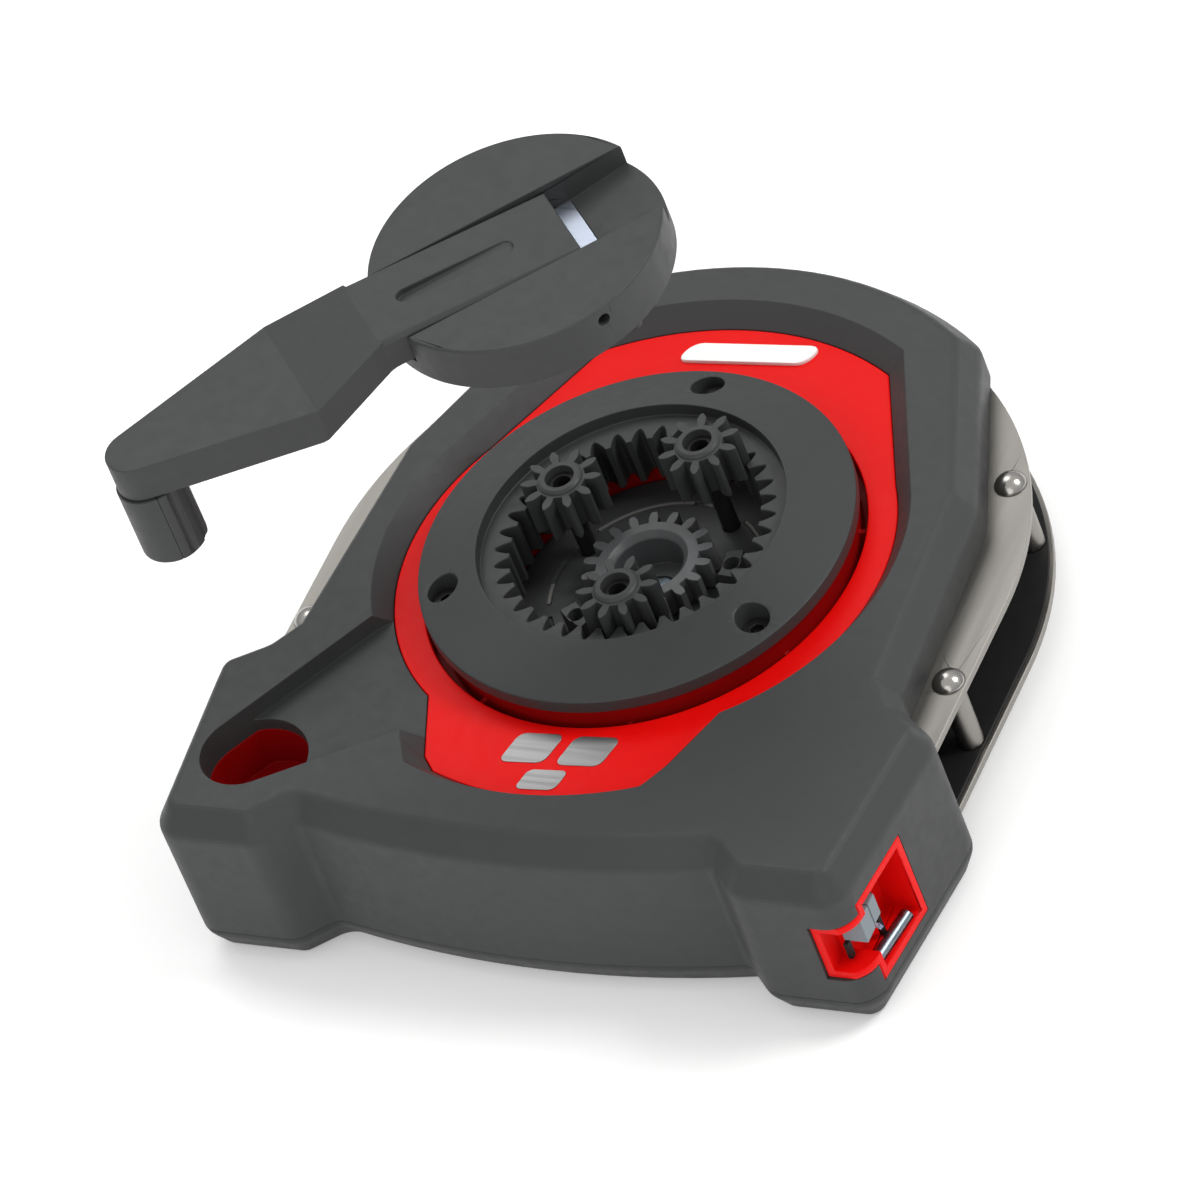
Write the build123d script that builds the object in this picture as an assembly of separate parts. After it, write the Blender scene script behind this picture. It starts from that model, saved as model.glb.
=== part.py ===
"""Chalk line reel with a planetary gear train and a folding crank.

Millimetres.  Origin: on the crank axis, in the back face of the case.
+Z is the crank axis out of the front face, +Y runs to the top of the arch.
Rest pose: crank and planet gears lifted off along +Z, as on a display model.
"""
from build123d import *
import math
import os

# ---- case ---------------------------------------------------------------
CASE_DEPTH = 36.0
BEVEL_DEPTH = 5.0
BEVEL_WIDTH = 3.4
REAR_BEVEL_DEPTH = 6.3
REAR_BEVEL_WIDTH = 2.8
EDGE_SOFT = 1.0
ARCH_R = 71.3
ARCH_END_X = 42.9
FLANK_X = 57.0
NECK = (62.6, -29.0)
FOOT_SHOULDER = (70.6, -34.6)
FOOT_TOE = (67.0, -73.4)
FOOT_BUMP_X = 46.6
FOOT_SOLE = (40.4, -67.6)
WALL = 2.5
FIT = 0.2
RUNNING = 0.05
PRESS = 0.02

# recessed face
FACE_TOP = 32.4
FACE_THICK = 1.6
FACE_R = 55.7
RIM_R = 59.6
MOAT_R = 40.5

# side frame plates
PLATE_T = 1.5
LINER_T = 0.6
FRONT_PLATE_TOP = 24.8
REAR_PLATE_TOP = 9.2
PLATE_R = 66.5
PLATE_CENTRE_Y = 3.9
PLATE_END_Y = -44.0
DRUM_R = 57.0
STANDOFFS = [(56.8, 31.2), (63.1, -15.4)]
STANDOFF_R = 2.3
RIVET_R = 3.1
RIVET_SHANK_R = 1.5
DOME_H = 2.1

# foot: line window, chalk door and screws

FOOT_BACK_Y = -31.0
WINDOW_X = 59.2
WINDOW_Y = -52.4
WINDOW_FRONT_Y = -69.0
WINDOW_LOW = 8.0
WINDOW_HIGH = 27.2
NOTCH_LOW = 12.0
NOTCH_HIGH = 25.0
FRAME_T = 1.7
SILL_Z = 9.9
SILL_X = 63.6
FRONT_RECESS = 0.6
PIN_R = 1.3
PIN_FRONT = (65.1, -66.8)
PIN_BACK = (66.7, -55.4)
LINE_Z = 13.8
LINE_END = (65.4, -62.6)
LINE_HOLE_R = 0.8
WIPER_X = 62.4
WIPER_Z = 17.6
DOOR_T = 2.2
DOOR_L = 21.0
DOOR_LOW = 10.2
DOOR_HIGH = 22.8
DOOR_PIN_R = 0.55
DOOR_SETBACK = 9.5
FOOT_ROOF = 29.0
FOOT_SCREW_R = 1.3
FOOT_SCREW_TOP = 17.0
ARCH_SCREW_R = 1.5
ARCH_SCREW_TOP = 32.0
FOOT_POSTS = [(52.0, -37.6), (-52.0, -37.6), (27.0, -62.4), (-27.0, -62.4)]
FOOT_POST_R = 3.4
ARCH_POST_CIRCLE = 64.4
ARCH_POST_ANGLES = [52, 90, 128]
SPACER_R = 3.2
HEAD_POCKET = 2.6

# red chassis, moat and knob pocket
CHASSIS_R = 54.0
CHASSIS_FLOOR_T = 1.6
MOAT_FLOOR = 27.0
STOW_WIDE = 47.0
STOW_HALF = 15.4
STOW_TIP = 77.9
STOW_TIP_R = 8.4
POCKET_R = 10.4
CUP_T = 1.0
CUP_TOP = 29.7
CUP_FLOOR = 21.4
BUSH_R = 4.6
REAR_BUSH_LOW = 1.2
FRONT_BUSH_R = 9.8

# gear train: ring 38, planets 10, sun 18, equal module
MODULE = 1.25
RING_TEETH = 38
PLANET_TEETH = 10
SUN_TEETH = 18
CENTRE_DISTANCE = MODULE * (SUN_TEETH + PLANET_TEETH) / 2
ADDENDUM = 0.66 * MODULE
PLANET_ADDENDUM = 0.95 * MODULE
DEDENDUM = 1.4 * MODULE
BACKLASH = 0.32
MESH_STEP = 360 / (RING_TEETH + SUN_TEETH)
CARRIER_ZERO = -74.0
PLANET_STEPS = [21, 36, 0]
RING_PHASE = 6.6
RING_ROOT_R = 25.7
FLANGE_R = 40.0
FLANGE_EDGE_Z = 38.0
FLANGE_SIDE = 2.6
BORE_R = 28.3
BORE_EDGE_Z = 41.6
TEETH_TOP = 38.9
TEETH_BOTTOM = 28.8
RING_BODY_R = 37.1
SEAT_R = 38.6
SCREW_CIRCLE = 35.2
SCREW_ANGLES = [90, 210, 330]
SCREW_SEAT_Z = 34.2
SCREW_R = 1.5
SCREW_HEAD_R = 2.7

CARRIER_TOP = 25.2
CARRIER_R = 26.3
CARRIER_T = 2.0
CHASSIS_FLOOR = 23.0
SUN_TOP = 31.4
SUN_BORE = 6.4
STEM_R = 8.6
PLANET_LIFTS = [12.0, 9.0, 9.0]
PLANET_SEAT = 26.2
PLANET_FACE = 8.0
PLANET_BORE = 2.65
POST_R = 1.6
LUG_ANGLES = [6.0, 238.0]
LUG_TOP = 31.0
LUG_CIRCLE = 16.0
DOG_R = 1.4
PIN_TOP = 38.8
GROOVE_GAPS = [62, 150, 205, 262, 330]

# spool
SPOOL_R = 51.0
BARREL_R = 14.0
SPOOL_BACK = 4.2
SPOOL_FRONT = 20.6
FLANGE_T = 1.4
SHAFT_R = 3.0
SHAFT_LOW = 1.6
LINE_R = 38.0

# crank
HUB_R = 26.4
HUB_T = 8.8
HUB_TOP = 111.0
ARM_ANGLE = 225.8
ARM_HALF = 9.2
ARM_T = 5.2
ARM_ROOT_DROP = 0.7
ARM_BEND_RISE = 1.2
ARM_RELIEF = 0.8
ARM_RELIEF_END = 28.8
PADDLE_DIP = 2.3
PADDLE_T = 7.2
PADDLE_HALF = 13.1
PADDLE_START = 29.2
PADDLE_WIDE = 44.0
KNOB_REACH = 73.8
KNOB_R = 5.9
KNOB_DROP = 24.8
TIP_R = 5.3
TIP_REACH = 74.0
HINGE_BACK = 5.6
HINGE_DEPTH = 2.7
HINGE_PIN_R = 1.1
HINGE_PIN_L = 44.0
ARM_ROOT_BACK = 9.0
SPRING_START = 9.1
SPRING_END = 12.9
SPRING_HALF = 9.1
RAMP_START = 13.4
RAMP_DEPTH = 2.2
DOG_L = 11.7
AXLE_R = 1.5
AXLE_HEAD_R = 2.6


# ---- helpers ------------------------------------------------------------
def polar(radius, angle):
    return (radius * math.cos(math.radians(angle)), radius * math.sin(math.radians(angle)))


def prism(face, z_low, z_high):
    return Pos(0, 0, z_low) * extrude(face, z_high - z_low, dir=(0, 0, 1))


def disc(radius, z_low, z_high, x=0.0, y=0.0):
    return Pos(x, y, (z_low + z_high) / 2) * Cylinder(radius, z_high - z_low)


def tube(outer, inner, z_low, z_high, x=0.0, y=0.0):
    return disc(outer, z_low, z_high, x, y) - disc(inner, z_low - 1, z_high + 1, x, y)


def block(x0, x1, y0, y1, z0, z1):
    centre = ((x0 + x1) / 2, (y0 + y1) / 2, (z0 + z1) / 2)
    return Pos(*centre) * Box(x1 - x0, y1 - y0, z1 - z0)


def face_of(edges):
    return make_face(Wire(edges).edges())


def mirrored(right):
    """Close a right-hand chain of (kind, points) about the Y axis."""
    edges = []
    for points in right:
        left = [(-x, y) for x, y in points]
        for chain in (points, left):
            if len(chain) == 2:
                edges.append(Line(*chain))
            else:
                edges.append(ThreePointArc(*chain))
    return edges


def tangent_from(px, py, cx, radius):
    """Upper tangent point on a circle centred on the X axis, seen from a point above it."""
    dx, dy = px - cx, py
    reach = math.hypot(dx, dy)
    base = math.atan2(dy, dx)
    angle = base - math.acos(radius / reach)
    return (cx + radius * math.cos(angle), radius * math.sin(angle))


# ---- outlines -----------------------------------------------------------
def corners_at(face, *distances):
    """Corners of a face at any of these distances from the Y axis."""
    return [v for v in face.vertices() if any(abs(abs(v.X) - d) < 0.01 for d in distances)]


def case_face():
    """Outer wall of the case: arch, flanks, neck and foot with two corner bumps."""
    shoulder = on_circle(ARCH_R, ARCH_END_X)
    half_arch = polar(ARCH_R, (90 + math.degrees(math.atan2(shoulder[1], shoulder[0]))) / 2)
    flank = (FLANK_X, 19.0)
    waist = (59.6, -24.5)
    bump = (FOOT_BUMP_X, FOOT_TOE[1])
    right = [
        [(0, ARCH_R), half_arch, shoulder],
        [shoulder, flank],
        [flank, waist],
        [waist, NECK],
        [NECK, FOOT_SHOULDER],
        [FOOT_SHOULDER, FOOT_TOE],
        [FOOT_TOE, bump],
        [bump, FOOT_SOLE],
        [FOOT_SOLE, (20.5, -70.6), (0, -71.6)],
    ]
    face = face_of(mirrored(right))
    face = fillet(corners_at(face, FOOT_SHOULDER[0], FOOT_TOE[0], FOOT_BUMP_X), BEVEL_WIDTH + 2.0)
    face = fillet(corners_at(face, FOOT_SOLE[0], NECK[0]), 2.5)
    return fillet(corners_at(face, ARCH_END_X, FLANK_X), BEVEL_WIDTH + 1.5)


def soft_corner(before, corner, after, count=3):
    """Points of a curve that rounds off a corner between two points."""
    points = []
    for n in range(count + 1):
        t = n / count
        weights = ((1 - t) ** 2, 2 * t * (1 - t), t ** 2)
        near = zip(weights, (before, corner, after))
        points.append(tuple(map(sum, zip(*[(w * x, w * y) for w, (x, y) in near]))))
    return points


def bevelled(face, z_wall, z_edge, width):
    """Band of the case from its wall over a bevel to its flat side, with both edges rounded."""
    rise = 1 if z_edge > z_wall else -1
    depth = abs(z_edge - z_wall)
    share = EDGE_SOFT / math.hypot(width, depth)
    near = (width * share, depth * share)
    far = (width - near[0], depth - near[1])
    steps = soft_corner((0, -EDGE_SOFT), (0, 0), near)
    steps += soft_corner(far, (width, depth), (width + EDGE_SOFT, depth))
    sections = [Pos(0, 0, z_wall - rise * EDGE_SOFT) * face]
    for inset, height in steps[1:]:
        outline = offset(face, -inset, kind=Kind.INTERSECTION)
        sections.append(Pos(0, 0, z_wall + rise * height) * outline.face())
    return loft(sections, ruled=True)


def plate_outline(arch_r, shoulder, hip, side, neck, corner, heel, bottom):
    """Face plate family of outlines: arch, flanks, round sides and a tab at the foot."""
    angle = (90 + math.degrees(math.atan2(shoulder[1], shoulder[0]))) / 2
    right = [
        [(0, arch_r), polar(arch_r, angle), shoulder],
        [shoulder, hip],
        [hip, side, neck],
        [neck, corner],
        [corner, heel],
        [heel, (heel[0] * 0.55, bottom + 0.30 * (heel[1] - bottom)), (0, bottom)],
    ]
    return Wire(mirrored(right))


def on_circle(radius, x):
    return (x, math.sqrt(radius ** 2 - x ** 2))


def face_plate_wire():
    return plate_outline(FACE_R, on_circle(FACE_R, 28.8), (40.4, 22.0), (46.2, -2.0),
                         (27.6, -36.6), (22.4, -50.4), (19.4, -53.6), -57.2)


def rim_wire():
    return plate_outline(RIM_R, on_circle(RIM_R, 31.5), (46.6, 16.4), (49.4, -4.0),
                         (31.0, -36.8), (26.4, -49.4), (23.2, -55.0), -59.6)


def side_plate_face():
    """Half-round plate with straight sides that run down into the foot."""
    corner = PLATE_END_Y + 8
    right = [(PLATE_R, PLATE_CENTRE_Y), (PLATE_R, corner), (PLATE_R - 4.4, PLATE_END_Y)]
    left = [(-x, y) for x, y in reversed(right)]
    lower = make_face(Polyline(*right, *left, close=True).edges())
    return Pos(0, PLATE_CENTRE_Y) * Circle(PLATE_R) + lower


# ---- gears --------------------------------------------------------------
def tooth_half_angle(radius, teeth, thin):
    """Half angle of a tooth of an involute gear at a radius, thinned for backlash."""
    pitch_r = MODULE * teeth / 2
    base_r = pitch_r * math.cos(math.radians(20))
    at_pitch = math.pi / (2 * teeth) - thin / (2 * pitch_r)
    phi0 = math.radians(20)
    phi = math.acos(min(1.0, base_r / max(radius, base_r)))
    return at_pitch + (math.tan(phi0) - phi0) - (math.tan(phi) - phi)


def gear_face(teeth, tip, root, thin, phase=0.0):
    """External spur gear: involute flanks sampled at a few radii, flat root."""
    flank = [root + (tip - root) * k / 5 for k in range(6)]
    points = []
    for n in range(teeth):
        mid = phase + 2 * math.pi * n / teeth
        right = [(r, mid - tooth_half_angle(r, teeth, thin)) for r in flank]
        left = [(r, mid + tooth_half_angle(r, teeth, thin)) for r in reversed(flank)]
        points += [(r * math.cos(a), r * math.sin(a)) for r, a in right + left]
    return make_face(Polyline(*points, close=True).edges())


def ring_bore_face(tip, root, phase=0.0):
    """Opening of the internal gear: involute tooth gaps that close to a blunt point."""
    involute_end = CENTRE_DISTANCE + MODULE * PLANET_TEETH / 2 + PLANET_ADDENDUM + 0.15
    flank = [tip + (involute_end - tip) * k / 4 for k in range(5)]
    points = []
    for n in range(RING_TEETH):
        mid = phase + 2 * math.pi * n / RING_TEETH
        gap = [(r, tooth_half_angle(r, RING_TEETH, -BACKLASH)) for r in flank]
        gap.append((root, 0.35 * gap[-1][1]))
        right = [(r, mid - h) for r, h in gap]
        left = [(r, mid + h) for r, h in reversed(gap)]
        points += [(r * math.cos(a), r * math.sin(a)) for r, a in right + left]
    return make_face(Polyline(*points, close=True).edges())


def planet_angles():
    return [CARRIER_ZERO + MESH_STEP * step for step in PLANET_STEPS]


def planet_phase(angle):
    """Tooth angle that puts a planet in mesh with the ring gear."""
    return math.radians(angle - (angle - RING_PHASE) * RING_TEETH / PLANET_TEETH)


def sun_phase():
    angle = CARRIER_ZERO
    return math.radians(angle + (angle - RING_PHASE) * RING_TEETH / SUN_TEETH + 180 / SUN_TEETH)


def ring_gear():
    flange = disc(FLANGE_R, FLANGE_EDGE_Z - FLANGE_SIDE, FLANGE_EDGE_Z)
    crown_h = BORE_EDGE_Z - FLANGE_EDGE_Z
    crown = Pos(0, 0, FLANGE_EDGE_Z + crown_h / 2) * Cone(FLANGE_R, BORE_R, crown_h)
    body = disc(RING_BODY_R, TEETH_BOTTOM, FLANGE_EDGE_Z - FLANGE_SIDE)
    pitch_r = MODULE * RING_TEETH / 2
    opening = ring_bore_face(pitch_r - ADDENDUM, RING_ROOT_R, math.radians(RING_PHASE))
    gear = flange + crown + body - disc(BORE_R, TEETH_TOP, BORE_EDGE_Z + 1)
    gear -= prism(opening, TEETH_BOTTOM - 1, TEETH_TOP + 1)
    for angle in SCREW_ANGLES:
        x, y = polar(SCREW_CIRCLE, angle)
        gear -= disc(SCREW_HEAD_R + 0.3, SCREW_SEAT_Z, BORE_EDGE_Z + 1, x, y)
        gear -= disc(SCREW_R + 0.15, TEETH_BOTTOM - 1, SCREW_SEAT_Z + 1, x, y)
    return gear


def cap_screw(x, y, seat_z, length, radius, head_r, head_h):
    """Socket head screw that points down from its seat."""
    screw = disc(radius, seat_z - length, seat_z + 0.1, x, y) + disc(head_r, seat_z, seat_z + head_h, x, y)
    socket = Pos(x, y, seat_z + head_h * 0.4) * extrude(RegularPolygon(head_r * 0.5, 6), head_h)
    return screw - socket


def ring_screws():
    length = SCREW_SEAT_Z - CHASSIS_FLOOR - 1.0
    places = [polar(SCREW_CIRCLE, angle) for angle in SCREW_ANGLES]
    return Compound([cap_screw(x, y, SCREW_SEAT_Z, length, SCREW_R, SCREW_HEAD_R, 2.2) for x, y in places])


def sun_gear():
    pitch_r = MODULE * SUN_TEETH / 2
    teeth = gear_face(SUN_TEETH, pitch_r + 0.75, pitch_r - DEDENDUM, BACKLASH, sun_phase())
    gear = prism(teeth, CARRIER_TOP + 0.4, SUN_TOP)
    gear += disc(STEM_R, SPOOL_FRONT, CARRIER_TOP + 1)
    gear -= disc(SUN_BORE, CHASSIS_FLOOR + 1.2, SUN_TOP + 1)
    gear -= disc(SHAFT_R + FIT, SPOOL_FRONT - 1, SUN_TOP)
    rim = Pos(0, 0, SUN_TOP - 0.55) * Cone(SUN_BORE, SUN_BORE + 1.2, 1.2)
    return gear - rim


def planet_gear(angle, low):
    pitch_r = MODULE * PLANET_TEETH / 2
    x, y = polar(CENTRE_DISTANCE, angle)
    tip = pitch_r + PLANET_ADDENDUM
    teeth = gear_face(PLANET_TEETH, tip, pitch_r - DEDENDUM, BACKLASH, planet_phase(angle))
    gear = prism(teeth, low, low + PLANET_FACE)
    boss = disc(4.1, low + PLANET_FACE, low + PLANET_FACE + 0.8)
    gear += chamfer(boss.edges().group_by(Axis.Z)[-1], 0.5)
    gear -= disc(PLANET_BORE, low - 1, low + PLANET_FACE + 2)
    return Pos(x, y, 0) * gear


def planet_bush(angle, low):
    x, y = polar(CENTRE_DISTANCE, angle)
    sleeve = tube(PLANET_BORE - RUNNING, POST_R + RUNNING, low - 0.7, low + 7.2)
    collar = tube(3.9, POST_R + RUNNING, low - 0.7, low - RUNNING)
    return Pos(x, y, 0) * (sleeve + collar)


def lug(angle, outer=17.6, inner=14.4, spread=22):
    """Crescent drive lug standing on the carrier between two planets."""
    sector = make_face(Polyline((0, 0), polar(40, angle - spread / 2), polar(40, angle + spread / 2),
                                close=True).edges())
    ring = Circle(outer) - Circle(inner)
    return ring & sector


def carrier_plate():
    low = CARRIER_TOP - CARRIER_T
    plate = tube(CARRIER_R, STEM_R + RUNNING, low, CARRIER_TOP)
    for angle in LUG_ANGLES:
        plate += prism(lug(angle), CARRIER_TOP - 0.5, LUG_TOP)
        x, y = polar(LUG_CIRCLE, angle)
        plate -= disc(DOG_R + 0.12, low + 0.8, LUG_TOP + 1, x, y)
    groove = Circle(20.2) - Circle(19.4)
    gaps = [Rot(0, 0, a) * (Pos(25, 0) * Rectangle(50, 3.0)) for a in GROOVE_GAPS]
    for gap in gaps:
        groove -= gap
    plate -= prism(groove, CARRIER_TOP - 0.5, CARRIER_TOP + 1)
    for angle in planet_angles():
        x, y = polar(CENTRE_DISTANCE, angle)
        plate -= disc(POST_R + 0.02, low - 1, CARRIER_TOP + 1, x, y)
    return plate


def planet_pins():
    places = [polar(CENTRE_DISTANCE, a) for a in planet_angles()]
    low = CARRIER_TOP - CARRIER_T
    return Compound([disc(POST_R, low + 0.1, PIN_TOP, x, y) for x, y in places])


# ---- spool --------------------------------------------------------------
def spool():
    reel = disc(BARREL_R, SPOOL_BACK, SPOOL_FRONT)
    reel += disc(SPOOL_R, SPOOL_BACK, SPOOL_BACK + FLANGE_T)
    reel += disc(SPOOL_R, SPOOL_FRONT - FLANGE_T, SPOOL_FRONT)
    for angle in range(0, 360, 60):
        x, y = polar(44.0, angle)
        reel -= disc(4.5, SPOOL_BACK - 1, SPOOL_FRONT + 1, x, y)
    return reel - disc(SHAFT_R + 0.02, SPOOL_BACK - 1, SPOOL_FRONT + 1)


def wound_line():
    """Line pack on the barrel, layered with shallow turns."""
    low = SPOOL_BACK + FLANGE_T + 0.1
    high = SPOOL_FRONT - FLANGE_T - 0.1
    pack = tube(LINE_R, BARREL_R + 0.02, low, high)
    turn = 1.4
    count = int((high - low) / turn)
    for n in range(1, count):
        pack -= Pos(0, 0, low + n * turn) * Torus(LINE_R + 0.15, 0.45)
    return pack


def spool_shaft():
    return disc(SHAFT_R, SHAFT_LOW, CHASSIS_FLOOR + 1.0)


# ---- case ---------------------------------------------------------------
def half_space(y_limit, above):
    return block(-120, 120, y_limit, 200, -10, 80) if above else block(-120, 120, -200, y_limit, -10, 80)


def stow_channel():
    """Lozenge recess in the front face that the stowed crank paddle lies over."""
    return prism(stow_outline(), FACE_TOP, CASE_DEPTH + 1)


def stow_outline():
    """Plan of the recess: wide at the waist of the paddle, round at the tip."""
    touch = tangent_from(STOW_WIDE, STOW_HALF, STOW_TIP, STOW_TIP_R)
    upper = [(20, STOW_HALF), (STOW_WIDE, STOW_HALF), touch]
    lower = [(x, -y) for x, y in reversed(upper)]
    tip = ThreePointArc(touch, (STOW_TIP + STOW_TIP_R, 0), lower[0])
    sides = Polyline(*upper).edges() + Polyline(*lower).edges() + ShapeList([tip.edge()])
    return Rot(0, 0, ARM_ANGLE) * make_face(sides + ShapeList([Line(lower[-1], upper[0]).edge()]))


def pocket_outline(grow=0.0):
    """Plan of the pocket for the knob: the tip of the recess, cut off by a round inner end."""
    well = Pos(STOW_TIP, 0) * Circle(POCKET_R + grow)
    tip = offset(stow_outline(), grow) if grow else stow_outline()
    return tip & (Rot(0, 0, ARM_ANGLE) * well)


def foot_hollow(inset):
    """Plan of the chalk room in the foot, set in from the walls."""
    back, front = PLATE_END_Y, -64.5 - (WALL - inset) * 0.6
    right = [(69.6 - inset, back), (67.6 - inset, front), (47.5, front), (42.0, front + 3.0)]
    left = [(-x, y) for x, y in reversed(right)]
    return make_face(Polyline(*right, *left, close=True).edges())


def window_solid(grow):
    """Line window: a tall opening in the side and a lower one that wraps the corner to the front."""
    side = block(WINDOW_X + 1.0 - grow, 90, WINDOW_FRONT_Y - grow, WINDOW_Y + grow,
                 WINDOW_LOW - grow, WINDOW_HIGH + grow)
    front = block(WINDOW_X - grow, 90, -90, -64.0, NOTCH_LOW - grow, NOTCH_HIGH + grow)
    return side + front


def outlet_frame():
    """Red liner of the line window, flush with the side wall, with a seat for the wear pin."""
    zone = prism(case_face(), REAR_BEVEL_DEPTH, CASE_DEPTH - BEVEL_DEPTH)
    frame = (zone & window_solid(-FIT / 2)) - window_solid(-FRAME_T)
    back = block(WINDOW_X + 1.0 + FIT / 2, WINDOW_X + FRAME_T + 1.2,
                 WINDOW_FRONT_Y + 0.5, WINDOW_Y - FIT / 2,
                 WINDOW_LOW + FIT / 2, WINDOW_HIGH - FIT / 2)
    sill = block(SILL_X, 68.6, WINDOW_FRONT_Y + FRAME_T - 0.3, WINDOW_Y - 0.5, WINDOW_LOW + 0.5, SILL_Z)
    frame += back + (sill & zone)
    frame -= block(WINDOW_X - 1, FOOT_TOE[0] - 1.4, FOOT_TOE[1] - 1, FOOT_TOE[1] + FRONT_RECESS, 0, CASE_DEPTH)
    frame -= wear_pin_at(PIN_R + PRESS)
    return frame - line_path(LINE_HOLE_R)


def wear_pin_at(radius):
    """Rod half sunk in the sill of the window, aslant to the side wall."""
    (x0, y0), (x1, y1) = PIN_FRONT, PIN_BACK
    heading = math.degrees(math.atan2(y1 - y0, x1 - x0))
    rod = Rot(0, 90, 0) * Cylinder(radius, math.hypot(x1 - x0, y1 - y0))
    return Pos((x0 + x1) / 2, (y0 + y1) / 2, SILL_Z) * Rot(0, 0, heading) * rod


def wear_pin():
    """Polished steel pin that the line bears on as it leaves."""
    return wear_pin_at(PIN_R)


def line_wiper():
    """Two felt pads that sweep chalk off the line, one over each side of its path."""
    top = NOTCH_HIGH - FRAME_T - 0.1
    front = block(WIPER_X, WIPER_X + 4.6, -69.0, -65.4, WIPER_Z, top)
    back = block(WIPER_X + 2.2, WIPER_X + 4.6, -65.2, -62.6, WIPER_Z + 0.6, top)
    return Compound([front, back])


def wiper_bars():
    """Two upright guide bars beside the path of the line."""
    top = WIPER_Z - 0.1
    front = block(WIPER_X, WIPER_X + 0.9, -69.8, -68.6, SILL_Z + 3.9, top)
    back = block(SILL_X + 0.05, SILL_X + 0.95, -60.9, -59.8, SILL_Z + 0.05, NOTCH_HIGH - FRAME_T)
    return Compound([front, back])


def line_ends():
    """Tangent point on the wound line and the end of the line in the outlet."""
    end = LINE_END
    reach = math.hypot(*end)
    radius = LINE_R + 0.9
    angle = math.degrees(math.atan2(end[1], end[0])) - math.degrees(math.acos(radius / reach))
    return polar(radius, angle), end


def line_path(radius):
    (x0, y0), (x1, y1) = line_ends()
    length = math.hypot(x1 - x0, y1 - y0)
    heading = math.degrees(math.atan2(y1 - y0, x1 - x0))
    rod = Rot(0, 0, heading) * Rot(0, 90, 0) * Cylinder(radius, length)
    return Pos((x0 + x1) / 2, (y0 + y1) / 2, LINE_Z) * rod


def door_frame():
    """Location of the chalk door hinge on the left wall of the foot, X along the wall to the front."""
    (x0, y0), (x1, y1) = FOOT_SHOULDER, FOOT_TOE
    heading = math.degrees(math.atan2(y1 - y0, x0 - x1))
    dx, dy = polar(1.0, heading)
    x = -x0 + DOOR_SETBACK * dx - DOOR_T / 2 * dy
    y = y0 + DOOR_SETBACK * dy + DOOR_T / 2 * dx
    return Location((x, y, 0), (0, 0, heading))


def fill_door():
    half = DOOR_T / 2
    door = block(0, DOOR_L, -half, half, DOOR_LOW, DOOR_HIGH) + disc(half, DOOR_LOW, DOOR_HIGH)
    door += block(3, DOOR_L - 1.5, half - 0.1, half + 0.8, DOOR_LOW + 1.5, DOOR_HIGH - 1.5)
    door -= disc(DOOR_PIN_R + RUNNING, DOOR_LOW - 1, DOOR_HIGH + 1)
    door -= block(DOOR_L - 1.2, DOOR_L + 1, -half - 1, -half + 0.7, DOOR_LOW + 6, DOOR_HIGH - 6)
    return door_frame() * door


def door_pin():
    return door_frame() * disc(DOOR_PIN_R, DOOR_LOW - 1.6, DOOR_HIGH + 1.6)


def door_opening():
    half = DOOR_T / 2
    opening = block(-half - 0.3, DOOR_L + 0.25, -4, 6, DOOR_LOW - 0.2, DOOR_HIGH + 0.2)
    return door_frame() * (opening + disc(DOOR_PIN_R + 0.02, DOOR_LOW - 1.8, DOOR_HIGH + 1.8))


def plate_slot(z_top):
    return prism(offset(side_plate_face(), 0.15), z_top - PLATE_T - 0.05, z_top + 0.05)


def arch_posts():
    return [polar(ARCH_POST_CIRCLE, angle) for angle in ARCH_POST_ANGLES]


def front_housing():
    wall_top = CASE_DEPTH - BEVEL_DEPTH
    outer = case_face()
    shell = prism(outer, FRONT_PLATE_TOP, wall_top - EDGE_SOFT)
    shell += bevelled(outer, wall_top, CASE_DEPTH, BEVEL_WIDTH)
    foot = prism(outer, REAR_BEVEL_DEPTH, FRONT_PLATE_TOP) & half_space(FOOT_BACK_Y, False)
    shell += foot
    floor_edge = Pos(0, 0, FACE_TOP) * Face(face_plate_wire())
    rim_edge = Pos(0, 0, CASE_DEPTH + 0.001) * Face(rim_wire())
    shell -= loft([floor_edge, rim_edge], ruled=True)
    shell -= prism(Face(face_plate_wire()), FACE_TOP - FACE_THICK - 0.1, FACE_TOP + 0.1)
    shell -= stow_channel()
    shell -= disc(CHASSIS_R + 0.2, FRONT_PLATE_TOP - 1, FACE_TOP - FACE_THICK)
    shell -= disc(DRUM_R + FIT, REAR_BEVEL_DEPTH - 1, FRONT_PLATE_TOP)
    hollow = prism(foot_hollow(WALL), REAR_BEVEL_DEPTH - 1, FOOT_ROOF)
    for x, y in FOOT_POSTS:
        hollow -= disc(FOOT_POST_R, 0, 40, x, y)
    shell -= hollow
    shell -= prism(pocket_outline(CUP_T + 0.1), CUP_FLOOR - 3, CUP_TOP + 0.05)
    shell -= prism(pocket_outline(), CUP_FLOOR, CASE_DEPTH)
    shell -= plate_slot(FRONT_PLATE_TOP) & half_space(FOOT_BACK_Y, False)
    shell -= plate_slot(REAR_PLATE_TOP) & half_space(FOOT_BACK_Y, False)
    shell -= window_solid(0.0)
    shell -= door_opening()
    for x, y in FOOT_POSTS:
        shell -= disc(FOOT_SCREW_R + PRESS, 0, FOOT_SCREW_TOP + 0.4, x, y)
    for x, y in arch_posts():
        shell -= disc(ARCH_SCREW_R + PRESS, 20, ARCH_SCREW_TOP + 0.4, x, y)
    for x, y in rivet_places():
        shell -= disc(RIVET_R + 0.15, FRONT_PLATE_TOP - 0.1, FRONT_PLATE_TOP + 3, x, y)
    return shell


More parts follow.
